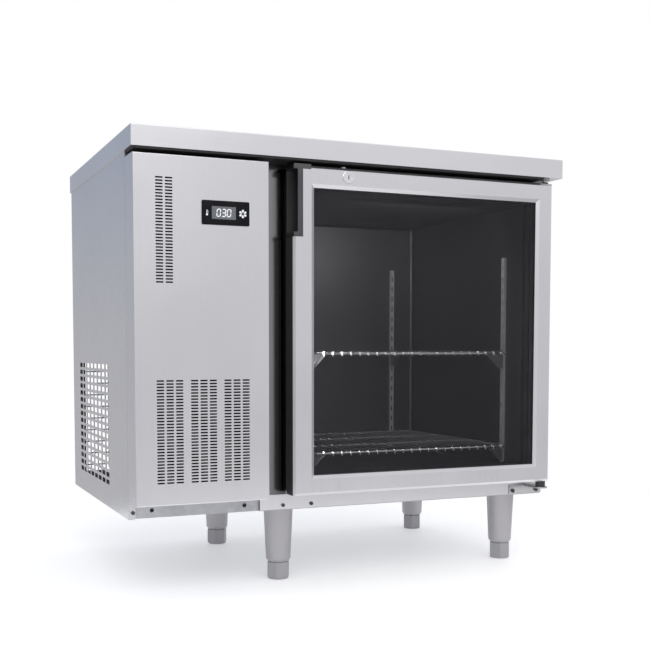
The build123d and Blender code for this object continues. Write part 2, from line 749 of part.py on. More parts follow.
def clip_profile(reach, drop, inset):
    """A right-angled triangle under the shelf, its upright side on the pilaster."""
    Polygon(
        (PILASTER_DEEP + inset, -inset),
        (PILASTER_DEEP + inset, -drop + 1.5 * inset),
        (PILASTER_DEEP + 6.0 + inset, -drop + 1.5 * inset),
        (PILASTER_DEEP + reach - 3 * inset, -4.0 + inset / 2),
        (PILASTER_DEEP + reach - 3 * inset, -inset),
        align=None,
    )


def make_shelf(name, z):
    """Cross rods and edge rods, with thin wires on top that turn down over the front rod."""
    sink = 0.6
    bend = 5.0
    tail = 4.0
    wire_z = z + ROD_RADIUS + WIRE_RADIUS - sink
    wire_front = SHELF_Y[0] - 2.2
    wire_rear = SHELF_Y[1] - 1.0
    bend_y = wire_front + bend
    cross = [SHELF_Y[0] + ROD_RADIUS, -54.5, 90.5, SHELF_Y[1] - ROD_RADIUS]
    edge_radius = ROD_RADIUS - 0.4
    middle_x = middle(SHELF_X)
    with BuildPart() as wire:
        with BuildSketch(facing_front(wire_rear)):
            with Locations((0, wire_z)):
                Circle(WIRE_RADIUS)
        extrude(amount=wire_rear - bend_y)
        with BuildSketch(facing_front(bend_y)):
            with Locations((0, wire_z)):
                Circle(WIRE_RADIUS)
        revolve(axis=Axis((0, bend_y, wire_z - bend), (1, 0, 0)), revolution_arc=90)
        with Locations((0, wire_front, wire_z - bend - tail / 2)):
            Cylinder(WIRE_RADIUS, tail)
    with BuildPart() as shelf:
        with Locations((middle_x, 0, 0)):
            with GridLocations(WIRE_PITCH, 1.0, WIRE_COUNT, 1):
                add(wire.part)
        for y in cross:
            with Locations((middle_x, y, z)):
                Cylinder(ROD_RADIUS, span(SHELF_X), rotation=(0, 90, 0))
        for x in (SHELF_X[0] + ROD_RADIUS, SHELF_X[1] - ROD_RADIUS):
            with Locations((x, middle(SHELF_Y), z)):
                Cylinder(edge_radius, span(SHELF_Y) - 4 * ROD_RADIUS, rotation=(90, 0, 0))
    write_piece(shelf, name)


# ---------------------------------------------------------------- door


def door_solid(front, inset, back):
    """The door's outline, drawn in a little for what lies under its skin."""
    x = grown(DOOR_X, -inset)
    z = grown(DOOR_Z, -inset)
    block(x, (front, back), z)


def window_cut(front):
    """The bevelled window, narrowing from the front face to the glass."""
    wide_x = grown(WINDOW_X, BEVEL_WIDTH)
    wide_z = grown(WINDOW_Z, BEVEL_WIDTH)
    with BuildSketch(facing_front(front)) as mouth:
        with Locations((middle(wide_x), middle(wide_z))):
            Rectangle(span(wide_x), span(wide_z))
    with BuildSketch(facing_front(front + BEVEL_DEPTH)) as throat:
        with Locations((middle(WINDOW_X), middle(WINDOW_Z))):
            Rectangle(span(WINDOW_X), span(WINDOW_Z))
    loft([mouth.sketch.face(), throat.sketch.face()], mode=Mode.SUBTRACT)
    block(WINDOW_X, (front + BEVEL_DEPTH, DOOR_BACK + 1.0), WINDOW_Z, mode=Mode.SUBTRACT)


def rim_edges(builder):
    """The outline's edges on the front face, before the window is cut."""
    return builder.faces().sort_by(Axis.Y)[0].edges()


def pull_cut(depth_x, y, tab):
    """Room for the finger pull: its body, and the tab along the door's top edge."""
    left = DOOR_X[0] - 2.0
    block((left, DOOR_X[0] + depth_x), y, (PULL_Z[0], PULL_Z[1] + 1.0), mode=Mode.SUBTRACT)
    if tab:
        tab_y = (DOOR_FRONT - 1.0, DOOR_FRONT + SHEET)
        tab_z = (PULL_Z[1] - 9.0, PULL_Z[1] + 1.0)
        block((left, DOOR_X[0] + PULL_TAB), tab_y, tab_z, mode=Mode.SUBTRACT)


def round_cut(at, radius, y):
    with Locations((at[0], middle(y), at[1])):
        Cylinder(radius, span(y), rotation=(90, 0, 0), mode=Mode.SUBTRACT)


def make_door():
    inner_front = DOOR_FRONT + SHEET
    with BuildPart() as door_void:
        door_solid(inner_front, SHEET, DOOR_BACK + 1.0)
        chamfer(rim_edges(door_void), EDGE_DEPTH, EDGE_WIDTH)
        window_cut(inner_front)
    bolt_room_x = (BOLT_TIP_X - 5.5, BOLT_TIP_X + 5.5)
    bolt_room_y = grown(BOLT_Y, 0.5)
    pin_room = BUSH_RADIUS + 0.1

    with BuildPart() as door_skin:
        door_solid(DOOR_FRONT, 0.0, DOOR_SKIN_BACK)
        chamfer(rim_edges(door_skin), EDGE_DEPTH, EDGE_WIDTH)
        window_cut(DOOR_FRONT)
        add(door_void.part, mode=Mode.SUBTRACT)
        pull_cut(PULL_FACE, (DOOR_FRONT - 1.0, DOOR_FRONT + SHEET), True)
        pull_cut(PULL_DEEP, (DOOR_FRONT + SHEET, DOOR_SKIN_BACK + 1.0), False)
        round_cut(LOCK_AT, LOCK_BORE + 0.1, (DOOR_FRONT - 1.0, DOOR_FRONT + 2.0))
        block(bolt_room_x, bolt_room_y, (DOOR_Z[1] - 2.0, DOOR_Z[1] + 1.0), mode=Mode.SUBTRACT)
        with Locations((*PIN_AT, middle(DOOR_Z))):
            Cylinder(pin_room, span(DOOR_Z) + 2.0, mode=Mode.SUBTRACT)
    write_piece(door_skin, "door_skin")

    unit_x = grown(WINDOW_X, GLASS_TUCK)
    unit_z = grown(WINDOW_Z, GLASS_TUCK)
    unit_front = inner_front + BEVEL_DEPTH
    unit_back = unit_front + 2 * GLASS + GLASS_GAP
    bush_deep = 24.0
    with BuildPart() as door_core:
        door_solid(inner_front, SHEET, DOOR_BACK)
        chamfer(rim_edges(door_core), EDGE_DEPTH, EDGE_WIDTH)
        window_cut(inner_front)
        block(unit_x, (unit_front, unit_back), unit_z, mode=Mode.SUBTRACT)
        pull_cut(PULL_DEEP, (DOOR_FRONT, DOOR_BACK + 1.0), False)
        block(
            (DOOR_X[0], DOOR_X[0] + PULL_TAB),
            (DOOR_FRONT, inner_front + 0.5),
            (PULL_Z[1] - 9.0, PULL_Z[1]),
            mode=Mode.SUBTRACT,
        )
        round_cut(LOCK_AT, LOCK_BORE + 0.1, (DOOR_FRONT, BOLT_Y[0] - 0.5))
        block(
            (BOLT_TIP_X - 7.5, LOCK_AT[0] + 9.0),
            bolt_room_y,
            (LOCK_AT[1] - 12.0, DOOR_Z[1]),
            mode=Mode.SUBTRACT,
        )
        for z in DOOR_Z:
            with Locations((*PIN_AT, z)):
                Cylinder(pin_room, 2 * bush_deep, mode=Mode.SUBTRACT)
    write_piece(door_core, "door_core")

    panes = {
        "door_glass_outer": (unit_front, unit_front + GLASS),
        "door_glass_inner": (unit_back - GLASS, unit_back),
    }
    for name, pane_y in panes.items():
        with BuildPart() as pane:
            block(grown(unit_x, -0.3), pane_y, grown(unit_z, -0.3))
            chamfer(pane.edges().filter_by(Axis.Y), 0.8)
        write_piece(pane, name)

    with BuildPart() as glass_spacer:
        spacer_y = (unit_front + GLASS, unit_back - GLASS)
        frame_ring(grown(unit_x, -1.0), grown(unit_z, -1.0), WINDOW_X, WINDOW_Z, spacer_y)
    write_piece(glass_spacer, "glass_spacer")

    gasket_x = grown(DOOR_X, -GASKET_INSET)
    gasket_z = grown(DOOR_Z, -GASKET_INSET)
    lip_in = 3.0
    base_y = (DOOR_BACK, DOOR_BACK + 4.0)
    neck_y = (DOOR_BACK + 4.0, DOOR_BACK + 6.5)
    lip_y = (DOOR_BACK + 6.5, GASKET_BACK)
    inner_x = grown(gasket_x, -GASKET_WIDTH)
    inner_z = grown(gasket_z, -GASKET_WIDTH)
    with BuildPart() as door_gasket:
        frame_ring(gasket_x, gasket_z, inner_x, inner_z, base_y)
        frame_ring(
            grown(gasket_x, -lip_in),
            grown(gasket_z, -lip_in),
            grown(inner_x, lip_in),
            grown(inner_z, lip_in),
            neck_y,
        )
        frame_ring(gasket_x, gasket_z, inner_x, inner_z, lip_y)
    write_piece(door_gasket, "door_gasket")


def make_door_handle():
    face_y = (DOOR_FRONT - 0.5, DOOR_FRONT + SHEET)
    body_y = (DOOR_FRONT + SHEET, FRONT + 43.0)
    pocket_z = (PULL_Z[0] + 8.5, PULL_Z[1] - 9.0)
    left = DOOR_X[0]
    mouth_corner = 2.8
    with BuildPart() as door_handle:
        block((left + 0.2, left + PULL_FACE - 0.1), face_y, (PULL_Z[0] + 0.1, PULL_Z[1]))
        block((left + 0.2, left + PULL_TAB - 0.1), face_y, (PULL_Z[1] - 8.9, PULL_Z[1]))
        block((left + 0.2, left + PULL_DEEP - 0.1), body_y, (PULL_Z[0] + 0.1, PULL_Z[1]))
        block(
            (left - 1.0, left + PULL_DEEP - 2.0),
            (DOOR_FRONT + 3.0, body_y[1] - 2.0),
            pocket_z,
            mode=Mode.SUBTRACT,
        )
        block(
            (left - 1.0, left + PULL_MOUTH),
            (face_y[0] - 1.0, DOOR_FRONT + 4.0),
            pocket_z,
            mode=Mode.SUBTRACT,
        )
        mouth_corners = door_handle.edges().filter_by(Axis.Y)
        mouth_corners = mouth_corners.filter_by_position(
            Axis.X, left + PULL_MOUTH - 0.1, left + PULL_MOUTH + 0.1
        )
        fillet(mouth_corners, mouth_corner)
    write_piece(door_handle, "door_handle")


def make_lock():
    flange_radius = 12.0
    flange_y = (DOOR_FRONT - 1.8, DOOR_FRONT)
    barrel_back = BOLT_Y[0] - 0.6
    with BuildPart() as lock_housing:
        with BuildSketch(facing_front(flange_y[0])):
            with Locations(LOCK_AT):
                Circle(flange_radius)
        extrude(amount=-span(flange_y))
        fillet(lock_housing.faces().sort_by(Axis.Y)[0].edges(), 1.0)
        with BuildSketch(facing_front(flange_y[1])):
            with Locations(LOCK_AT):
                Circle(LOCK_BORE)
        extrude(amount=-(barrel_back - flange_y[1]))
        round_cut(LOCK_AT, CYLINDER_RADIUS + RUNNING, (flange_y[0] - 1.0, barrel_back + 1.0))
    write_piece(lock_housing, "lock_housing")

    cylinder_y = (flange_y[0] + 0.6, barrel_back)
    key_slot = (2.0, 8.0)
    pin_radius = 1.2
    with BuildPart() as lock_cylinder:
        with BuildSketch(facing_front(cylinder_y[0])):
            with Locations(LOCK_AT):
                Circle(CYLINDER_RADIUS)
        extrude(amount=-span(cylinder_y))
        with BuildSketch(facing_front(cylinder_y[0])):
            with Locations(LOCK_AT):
                Rectangle(*key_slot)
        extrude(amount=-9.0, mode=Mode.SUBTRACT)
        with BuildSketch(facing_front(cylinder_y[1])):
            with Locations((LOCK_AT[0] - LOCK_TRAVEL, LOCK_AT[1])):
                Circle(pin_radius)
        extrude(amount=-(BOLT_Y[1] - cylinder_y[1]))
    write_piece(lock_cylinder, "lock_cylinder")

    play = 0.3
    plate_x = (BOLT_TIP_X - 7.0, LOCK_AT[0] + 8.5)
    plate_z = (LOCK_AT[1] - 5.5, LOCK_AT[1] + 9.0)
    window_x = (LOCK_AT[0] - LOCK_TRAVEL - pin_radius - play, LOCK_AT[0] + pin_radius + play)
    window_z = (LOCK_AT[1] - pin_radius - play, LOCK_AT[1] + pin_radius + play + 1.2)
    with BuildPart() as lock_bolt:
        block(plate_x, BOLT_Y, plate_z)
        block((BOLT_TIP_X - 4.0, BOLT_TIP_X + 4.0), BOLT_Y, (plate_z[1], BOLT_TIP_Z))
        fillet(lock_bolt.faces().sort_by(Axis.Z)[-1].edges().filter_by(Axis.Y), 2.0)
        block(window_x, grown(BOLT_Y, 1.0), window_z, mode=Mode.SUBTRACT)
    write_piece(lock_bolt, "lock_bolt")


# ---------------------------------------------------------------- hinges, legs and screws


def make_hinges():
    tip_radius = 14.0
    leaf_y = (BODY_FRONT - SHEET - 2.5, BODY_FRONT - SHEET)
    plate_x = (PIN_AT[0] - tip_radius, PIN_AT[0] + tip_radius)
    lower_plate = (LOWER_PLATE_TOP - BRACKET, LOWER_PLATE_TOP)
    pin_length = 30.0
    with BuildPart() as hinge_bracket_bottom:
        block((368.0, BODY_RIGHT - 0.5), leaf_y, (149.4, LOWER_PLATE_TOP))
        block(plate_x, (PIN_AT[1], leaf_y[1]), lower_plate)
        with Locations((*PIN_AT, middle(lower_plate))):
            Cylinder(tip_radius, BRACKET)
        with Locations((*PIN_AT, LOWER_PLATE_TOP + pin_length / 2)):
            Cylinder(PIN_RADIUS, pin_length)
    write_piece(hinge_bracket_bottom, "hinge_bracket_bottom")

    upper_plate = (UPPER_PLATE_BOTTOM, UPPER_PLATE_BOTTOM + BRACKET)
    upper_tip = 11.0
    with BuildPart() as hinge_bracket_top:
        block(
            (PIN_AT[0] - upper_tip, PIN_AT[0] + upper_tip),
            (PIN_AT[1], BODY_FRONT - 1.0),
            upper_plate,
        )
        with Locations((*PIN_AT, middle(upper_plate))):
            Cylinder(upper_tip, BRACKET)
        with Locations((*PIN_AT, UPPER_PLATE_BOTTOM - 12.0)):
            Cylinder(PIN_RADIUS, 24.0)
    write_piece(hinge_bracket_top, "hinge_bracket_top")

    lower_bush = (LOWER_PLATE_TOP + 0.4, DOOR_Z[0] - 0.1, DOOR_Z[0] + 22.0, 10.0)
    upper_bush = (DOOR_Z[1] + 3.0, DOOR_Z[1] + 0.1, DOOR_Z[1] - 22.0, 8.0)
    with BuildPart() as hinge_bushes:
        for outer, face, inner, flange in (lower_bush, upper_bush):
            with Locations((*PIN_AT, (outer + face) / 2)):
                Cylinder(flange, abs(face - outer))
            with Locations((*PIN_AT, (face + inner) / 2)):
                Cylinder(BUSH_RADIUS, abs(inner - face))
            with Locations((*PIN_AT, (outer + inner) / 2)):
                Cylinder(PIN_RADIUS + RUNNING, 60.0, mode=Mode.SUBTRACT)
    write_piece(hinge_bushes, "hinge_bushes")


def make_legs():
    wall = 2.0
    plug = 26.0
    cap = 3.0
    stud_room = STUD_RADIUS + 0.1
    shoulder = LEG_BOTTOM + 5.1
    corners = {
        "fl": (LEG_X[0], LEG_Y[0]),
        "fr": (LEG_X[1], LEG_Y[0]),
        "rl": (LEG_X[0], LEG_Y[1]),
        "rr": (LEG_X[1], LEG_Y[1]),
    }
    with BuildPart() as leg_tubes:
        for x, y in corners.values():
            with BuildSketch(Plane((x, y, 0), x_dir=(1, 0, 0), z_dir=(0, -1, 0))):
                with BuildLine():
                    Polyline(
                        (stud_room, LEG_BOTTOM),
                        (LEG_LOW_RADIUS - 3.2, LEG_BOTTOM),
                        (LEG_LOW_RADIUS, shoulder),
                        (LEG_TOP_RADIUS, BODY_BOTTOM),
                        (stud_room, BODY_BOTTOM),
                        (stud_room, BODY_BOTTOM - cap),
                        (LEG_TOP_RADIUS - wall, BODY_BOTTOM - cap),
                        (LEG_LOW_RADIUS - wall, shoulder + plug),
                        (stud_room, shoulder + plug),
                        close=True,
                    )
                make_face()
            revolve(axis=Axis((x, y, 0), (0, 0, 1)))
    write_piece(leg_tubes, "leg_tubes")

    stud_top = 118.0
    pad = 4.0
    for corner, (x, y) in corners.items():
        with BuildPart(Plane((x, y, 0))) as foot:
            with BuildSketch(Plane((x, y, pad))):
                RegularPolygon(FOOT_ACROSS / 2, 6, major_radius=False)
            extrude(amount=FOOT_TOP - pad)
            chamfer(foot.faces().sort_by(Axis.Z)[-1].edges(), 1.5)
            with BuildSketch(Plane((x, y, 0))):
                Circle(FOOT_ACROSS / 2 + 0.5)
            extrude(amount=pad)
            fillet(foot.faces().sort_by(Axis.Z)[0].edges(), 1.5)
            with Locations((0, 0, (FOOT_TOP + stud_top) / 2)):
                Cylinder(STUD_RADIUS, stud_top - FOOT_TOP)
        write_piece(foot, f"foot_{corner}")


def screw(at, y, head_radius, head, shank):
    """A pan-head screw driven towards the back, with a cross recess in its head."""
    with Locations((at[0], y - head / 2, at[1])):
        Cylinder(head_radius, head, rotation=(90, 0, 0))
    with Locations((at[0], y + shank / 2, at[1])):
        Cylinder(head_radius / 2, shank, rotation=(90, 0, 0))
    with Locations((at[0], y - head, at[1])):
        Box(head_radius, head, head_radius / 5, mode=Mode.SUBTRACT)
        Box(head_radius / 5, head, head_radius, mode=Mode.SUBTRACT)


def make_screws():
    rail_y = BODY_FRONT - SHEET
    leaf_front = BODY_FRONT - SHEET - 2.5
    with BuildPart() as front_screws:
        for at in ((-147.0, 156.5), (-88.0, 156.5)):
            screw(at, rail_y, 3.6, 1.8, 6.0)
        screw((BODY_LEFT + 8.4, 159.5), BODY_FRONT, 3.6, 1.5, 5.0)
        for at in ((375.8, 156.0), (435.0, 156.0)):
            screw(at, leaf_front, 4.2, 2.0, 8.0)
    write_piece(front_screws, "front_screws")


os.makedirs("parts", exist_ok=True)
make_worktop()
make_side_panels()
make_face_frame()
make_liner_and_foam()
make_service_panel()
make_controller()
make_machine_base()
make_rear_guard()
make_compressor()
make_condenser()
make_refrigeration()
make_evaporator()
make_pilasters()
make_shelf_clips()
for shelf_name, shelf_z in SHELF_Z.items():
    make_shelf(shelf_name, shelf_z)
make_door()
make_door_handle()
make_lock()
make_hinges()
make_legs()
make_screws()
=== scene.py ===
import bpy
import bmesh
import json
import math
from mathutils import Matrix, Vector


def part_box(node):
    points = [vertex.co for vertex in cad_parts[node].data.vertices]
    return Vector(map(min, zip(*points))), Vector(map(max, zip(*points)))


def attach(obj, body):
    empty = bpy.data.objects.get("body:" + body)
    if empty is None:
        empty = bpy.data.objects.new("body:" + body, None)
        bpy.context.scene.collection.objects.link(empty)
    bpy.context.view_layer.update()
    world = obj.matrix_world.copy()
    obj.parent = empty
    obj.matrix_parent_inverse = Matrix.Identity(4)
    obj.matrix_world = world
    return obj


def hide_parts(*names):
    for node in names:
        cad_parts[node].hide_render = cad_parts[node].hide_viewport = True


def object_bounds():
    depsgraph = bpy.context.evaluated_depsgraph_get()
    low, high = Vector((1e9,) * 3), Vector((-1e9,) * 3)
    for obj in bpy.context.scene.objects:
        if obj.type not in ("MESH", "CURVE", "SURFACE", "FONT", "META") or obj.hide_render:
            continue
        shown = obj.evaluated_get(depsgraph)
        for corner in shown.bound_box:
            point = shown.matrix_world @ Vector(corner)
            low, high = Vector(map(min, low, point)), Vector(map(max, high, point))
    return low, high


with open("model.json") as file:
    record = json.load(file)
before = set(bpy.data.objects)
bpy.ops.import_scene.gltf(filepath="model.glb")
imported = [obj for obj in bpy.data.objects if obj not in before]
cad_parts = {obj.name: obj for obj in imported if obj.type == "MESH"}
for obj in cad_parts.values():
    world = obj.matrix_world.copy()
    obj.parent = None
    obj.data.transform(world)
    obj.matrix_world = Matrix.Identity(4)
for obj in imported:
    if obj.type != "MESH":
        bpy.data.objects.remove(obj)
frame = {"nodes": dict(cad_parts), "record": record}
cad_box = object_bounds()
NODES = frame["nodes"]
MM = 0.001
LOW, HIGH = cad_box


# The camera stands at eye level, low at the front left.
CAMERA_PLACE = (-0.8596, -2.0467, 0.4567)
CAMERA_TILT = 86.523
CAMERA_TURN = -23.01
CAMERA_LENS = 56.31
CAMERA_SHIFT = (0.0239, 0.1318)

# Studio lights: place, size and power.
KEY_LIGHT = ((-1.0, -2.8, 2.8), (3.2, 2.0), 42.0)
TOP_LIGHT = ((0.2, -0.2, 3.0), (2.6, 2.2), 12.0)

FLOOR_RADIUS = 1.0
FLOOR_DROP = 0.5 * MM
FLOOR_GLOW = 0.30

# How far the display's digits and the printed icons stand out.
DIGIT_RISE = 0.06 * MM
ICON_RISE = 0.04 * MM
ICON_LIFT = 0.02 * MM


# ---------------------------------------------------------------- node trees


class Graph:
    """A thin wrapper that makes a node tree read like a recipe."""

    def __init__(self, tree):
        self.tree = tree
        self.nodes = tree.nodes

    def add(self, kind, **inputs):
        node = self.nodes.new(kind)
        for name, value in inputs.items():
            node.inputs[name.replace("_", " ")].default_value = value
        return node

    def link(self, source, target):
        self.tree.links.new(source, target)

    def math(self, operation, first, second):
        node = self.add("ShaderNodeMath")
        node.operation = operation
        for socket, value in zip(node.inputs, (first, second)):
            if isinstance(value, (int, float)):
                socket.default_value = value
            else:
                self.link(value, socket)
        return node.outputs[0]

    def spread(self, value, low, high, out_low, out_high):
        """Map one range of values to another, clamped."""
        node = self.add("ShaderNodeMapRange")
        node.inputs["From Min"].default_value = low
        node.inputs["From Max"].default_value = high
        node.inputs["To Min"].default_value = out_low
        node.inputs["To Max"].default_value = out_high
        self.link(value, node.inputs["Value"])
        return node.outputs["Result"]

    def ramp(self, value, stops, low=0.0, high=1.0):
        """Colours by where a value lies between low and high."""
        node = self.add("ShaderNodeValToRGB")
        elements = node.color_ramp.elements
        while len(elements) < len(stops):
            elements.new(0.5)
        for element, (position, colour) in zip(elements, stops):
            element.position = position
            element.color = (*colour, 1.0)
        self.link(self.spread(value, low, high, 0.0, 1.0), node.inputs[0])
        return node.outputs["Color"]

    def mix(self, blend, factor, first, second):
        """Blend two colours; the factor and the colours are sockets or plain values."""
        node = self.add("ShaderNodeMix")
        node.data_type = "RGBA"
        node.blend_type = blend
        factor_socket, first_socket, second_socket = (node.inputs[index] for index in (0, 6, 7))
        pairs = ((factor_socket, factor), (first_socket, first), (second_socket, second))
        for socket, value in pairs:
            if isinstance(value, bpy.types.NodeSocket):
                self.link(value, socket)
            else:
                socket.default_value = value if isinstance(value, float) else (*value, 1.0)
        return node.outputs[2]

    def position(self):
        """A socket for each of X, Y and Z in object space."""
        coords = self.add("ShaderNodeTexCoord")
        split = self.add("ShaderNodeSeparateXYZ")
        self.link(coords.outputs["Object"], split.inputs[0])
        return split.outputs

    def noise(self, scale, stretch=(1.0, 1.0, 1.0), detail=3.0, roughness=0.5):
        """Noise in object space, scale in cells per metre, stretch per axis."""
        coords = self.add("ShaderNodeTexCoord")
        mapping = self.add("ShaderNodeMapping", Scale=tuple(scale * s for s in stretch))
        self.link(coords.outputs["Object"], mapping.inputs["Vector"])
        node = self.add("ShaderNodeTexNoise", Scale=1.0, Detail=detail, Roughness=roughness)
        self.link(mapping.outputs["Vector"], node.inputs["Vector"])
        return node.outputs["Fac"]

    def cells(self, scale):
        coords = self.add("ShaderNodeTexCoord")
        node = self.add("ShaderNodeTexVoronoi", Scale=scale)
        self.link(coords.outputs["Object"], node.inputs["Vector"])
        return node

    def bump(self, height, strength, distance):
        node = self.add("ShaderNodeBump", Strength=strength, Distance=distance)
        self.link(height, node.inputs["Height"])
        return node.outputs["Normal"]


# ---------------------------------------------------------------- camera and lights


def make_camera():
    """A standard eye-level product view from the front left, with the frame shifted up."""
    data = bpy.data.cameras.new("camera")
    data.sensor_width = 36.0
    data.lens = CAMERA_LENS
    data.shift_x, data.shift_y = CAMERA_SHIFT
    data.clip_start = 0.05
    data.clip_end = 60.0
    camera = bpy.data.objects.new("camera", data)
    camera.location = CAMERA_PLACE
    camera.rotation_euler = (math.radians(CAMERA_TILT), 0.0, math.radians(CAMERA_TURN))
    bpy.context.scene.collection.objects.link(camera)
    bpy.context.scene.camera = camera


def make_area_light(name, place, target, size, power):
    """A rectangle of light that faces its target."""
    data = bpy.data.lights.new(name, "AREA")
    data.shape = "RECTANGLE"
    data.size, data.size_y = size
    data.energy = power
    light = bpy.data.objects.new(name, data)
    light.location = place
    light.rotation_euler = (Vector(target) - Vector(place)).to_track_quat("-Z", "Y").to_euler()
    bpy.context.scene.collection.objects.link(light)


def make_cabinet_lights():
    """Two small strips of light just behind the door, one above and one on the left."""
    low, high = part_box("inner_liner")
    centre = (low + high) / 2
    above = (centre.x + 0.05, low.y + 0.06, high.z - 0.03)
    make_area_light("cabinet_strip", above, (above[0], high.y, centre.z), (0.30, 0.02), 0.4)
    beside = (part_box("evaporator_housing")[1].x + 0.02, low.y + 0.03, centre.z)
    make_area_light("cabinet_side", beside, (high.x, low.y + 0.12, centre.z), (0.02, 0.45), 0.45)


def make_world():
    """White for the camera; metal sees a soft room, dim overhead, bluer at the back left."""
    world = bpy.data.worlds.new("studio")
    world.use_nodes = True
    bpy.context.scene.world = world
    tree = Graph(world.node_tree)
    tree.nodes.clear()
    out = tree.add("ShaderNodeOutputWorld")
    coords = tree.add("ShaderNodeTexCoord")
    split = tree.add("ShaderNodeSeparateXYZ")
    tree.link(coords.outputs["Generated"], split.inputs[0])
    front_room = tree.ramp(split.outputs["Z"], [
        (0.00, (0.55, 0.54, 0.56)),
        (0.40, (0.60, 0.59, 0.61)),
        (0.58, (0.84, 0.84, 0.87)),
        (0.80, (0.90, 0.90, 0.93)),
        (1.00, (0.56, 0.56, 0.59)),
    ], low=-1.0, high=1.0)
    back_room = tree.ramp(split.outputs["Z"], [
        (0.00, (0.56, 0.56, 0.58)),
        (0.35, (0.54, 0.54, 0.57)),
        (0.60, (0.36, 0.42, 0.53)),
        (1.00, (0.50, 0.55, 0.64)),
    ], low=-0.3, high=0.6)
    leftward = tree.math("MULTIPLY", split.outputs["X"], -0.55)
    backward = tree.math("MULTIPLY", split.outputs["Y"], 0.85)
    behind = tree.spread(tree.math("ADD", leftward, backward), 0.35, 0.85, 0.0, 1.0)
    room = tree.mix("MIX", behind, front_room, back_room)
    seen = tree.add("ShaderNodeBackground", Color=(1.0, 1.0, 1.0, 1.0), Strength=1.0)
    lit = tree.add("ShaderNodeBackground", Strength=1.0)
    tree.link(room, lit.inputs["Color"])
    path = tree.add("ShaderNodeLightPath")
    both = tree.add("ShaderNodeMixShader")
    tree.link(path.outputs["Is Camera Ray"], both.inputs[0])
    tree.link(lit.outputs[0], both.inputs[1])
    tree.link(seen.outputs[0], both.inputs[2])
    tree.link(both.outputs[0], out.inputs["Surface"])


# ---------------------------------------------------------------- materials


def new_material(name, **constants):
    """An empty material with one Principled shader; constants go on its own sockets."""
    material = bpy.data.materials.new(name)
    material.use_nodes = True
    graph = Graph(material.node_tree)
    shader = graph.nodes["Principled BSDF"]
    for socket, value in constants.items():
        shader.inputs[socket.replace("_", " ")].default_value = value
    return material, graph, shader


# Noise is stretched along one axis to make a brushed grain.
GRAIN = {"x": (0.012, 1.0, 1.0), "z": (1.0, 1.0, 0.012)}
SMUDGE = 0.06
CLOUD = 0.03


def brushed_metal(name, colour, roughness, along, grain=0.22):
    """Sheet metal with a fine directional grain, faint smudges and slow tone changes."""
    material, graph, shader = new_material(name, Metallic=1.0)
    fine = graph.noise(1100.0, GRAIN[along], detail=2.0)
    streak = graph.noise(330.0, GRAIN[along], detail=4.0, roughness=0.6)
    patch = graph.noise(4.0, detail=2.0)
    wipe = graph.noise(11.0, detail=4.0, roughness=0.55)
    dark = tuple(c * (1.0 - CLOUD) for c in colour)
    light = tuple(min(1.0, c * (1.0 + CLOUD)) for c in colour)
    tone = graph.ramp(patch, [(0.0, dark), (1.0, light)], low=0.3, high=0.7)
    lines = graph.ramp(streak, [(0.0, (0.975,) * 3), (1.0, (1.0,) * 3)], low=0.3, high=0.7)
    graph.link(graph.mix("MULTIPLY", 1.0, tone, lines), shader.inputs["Base Color"])
    base = graph.spread(fine, 0.25, 0.75, roughness - 0.03, roughness + 0.04)
    marks = graph.spread(wipe, 0.5, 0.8, 0.0, SMUDGE)
    graph.link(graph.math("ADD", base, marks), shader.inputs["Roughness"])
    height = graph.math("ADD", fine, graph.math("MULTIPLY", streak, 0.6))
    graph.link(graph.bump(height, grain, 0.00003), shader.inputs["Normal"])
    return material


def galvanised(name):
    """Zinc-coated sheet with its spangle of crystals."""
    material, graph, shader = new_material(name, Metallic=0.9)
    crystal = graph.cells(85.0)
    zinc = [(0.0, (0.46, 0.465, 0.48)), (1.0, (0.54, 0.545, 0.56))]
    tone = graph.ramp(crystal.outputs["Color"], zinc)
    stain = graph.noise(9.0, detail=5.0, roughness=0.6)
    fade = [(0.0, (1.0, 1.0, 1.0)), (1.0, (0.80, 0.81, 0.82))]
    dull = graph.ramp(stain, fade, low=0.45, high=0.75)
    graph.link(graph.mix("MULTIPLY", 1.0, tone, dull), shader.inputs["Base Color"])
    facet = crystal.outputs["Distance"]
    graph.link(graph.spread(facet, 0.0, 0.8, 0.34, 0.52), shader.inputs["Roughness"])
    graph.link(graph.bump(facet, 0.08, 0.0001), shader.inputs["Normal"])
    return material


def paint_recess_shade(material, depth, colour, roughness):
    """Paint shade on the part of a surface that lies deeper than the front face: there it is made
    dark, dull and not metal.
    """
    graph = Graph(material.node_tree)
    shader = graph.nodes["Principled BSDF"]
    y = graph.position()["Y"]
    start, end = depth - 0.2 * MM, depth + 0.2 * MM
    deep = graph.spread(y, start, end, 0.0, 1.0)
    front = graph.spread(y, start, end, 1.0, 0.0)
    face = shader.inputs["Base Color"].links[0].from_socket
    gloss = shader.inputs["Roughness"].links[0].from_socket
    graph.link(graph.mix("MIX", deep, face, colour), shader.inputs["Base Color"])
    metal = graph.math("MULTIPLY", front, shader.inputs["Metallic"].default_value)
    graph.link(metal, shader.inputs["Metallic"])
    dull = graph.math("MAXIMUM", gloss, graph.math("MULTIPLY", deep, roughness))
    graph.link(dull, shader.inputs["Roughness"])
    return material


def shade_gap(material, start, end, light, dark):
    """Paint shade on a surface between two X positions, darker towards the end."""
    graph = Graph(material.node_tree)
    shader = graph.nodes["Principled BSDF"]
    x = graph.position()["X"]
    across = graph.spread(x, start, end, light, dark)
    beyond = graph.spread(x, end + 4 * MM, end + 6 * MM, 0.0, 1.0)
    share = graph.math("MAXIMUM", across, beyond)
    face = shader.inputs["Base Color"].links[0].from_socket
    toned = graph.mix("MIX", share, (0.0, 0.0, 0.0), face)
    graph.link(toned, shader.inputs["Base Color"])
    return material


